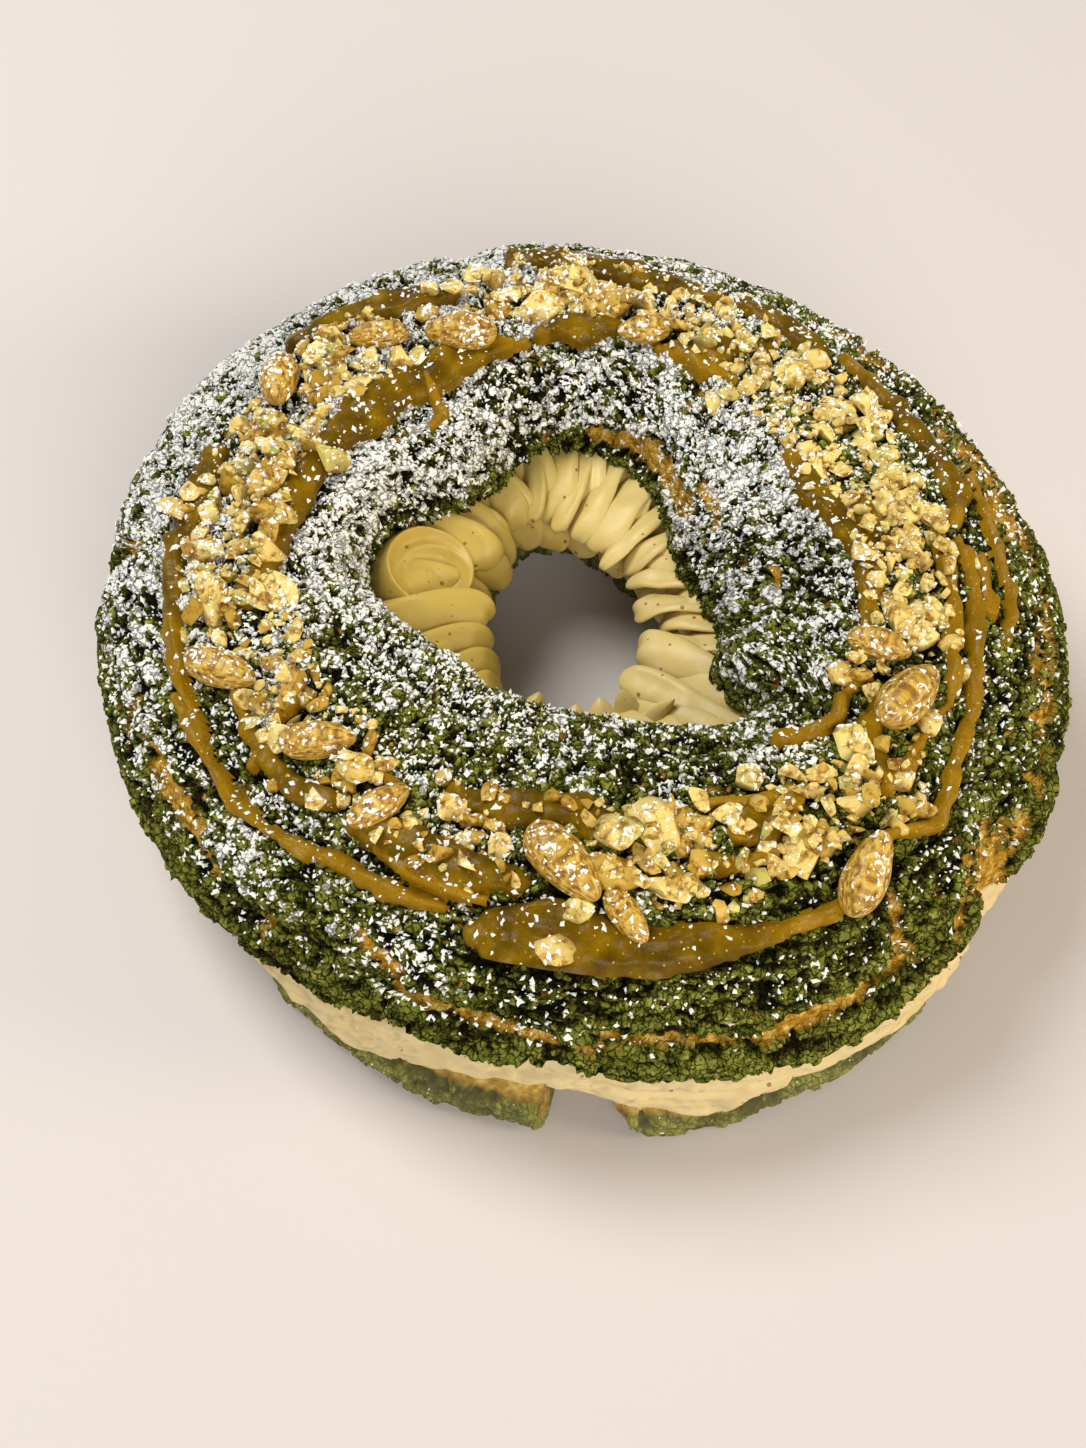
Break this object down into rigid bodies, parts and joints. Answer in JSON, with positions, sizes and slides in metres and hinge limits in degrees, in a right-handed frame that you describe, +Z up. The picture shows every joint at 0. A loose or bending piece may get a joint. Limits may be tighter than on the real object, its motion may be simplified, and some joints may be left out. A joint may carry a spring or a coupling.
{
  "type": "pistachio paris-brest",
  "caption": "Filled ring of choux pastry with a cracked green crust, piped pistachio cream, praline streaks and chopped and whole pistachios.",
  "frame": {"origin": "middle of the whole outline on the table", "axes": "+Z up through the hole of the ring, -Y towards the front, where the gap in the base is, +X to the right of it"},
  "size_m": [0.2014, 0.2012, 0.0675],
  "materials": {
    "green_crust": "dry crumbly green biscuit crust over browned choux",
    "pistachio_cream": "smooth pale pistachio cream with small specks",
    "topped_crust": "green biscuit crust with glossy praline, chopped nuts and icing sugar",
    "pistachio_kernel": "roasted pistachio kernel with brown skin and icing sugar"
  },
  "bodies": {
    "root": {"base": "green_crust", "cream": "pistachio_cream", "crown": "topped_crust", "kernel_1": "pistachio_kernel", "kernel_2": "pistachio_kernel", "kernel_3": "pistachio_kernel", "kernel_4": "pistachio_kernel", "kernel_5": "pistachio_kernel", "kernel_6": "pistachio_kernel", "kernel_7": "pistachio_kernel", "kernel_8": "pistachio_kernel", "kernel_9": "pistachio_kernel", "kernel_10": "pistachio_kernel", "kernel_11": "pistachio_kernel", "kernel_12": "pistachio_kernel"}
  },
  "joints": []
}
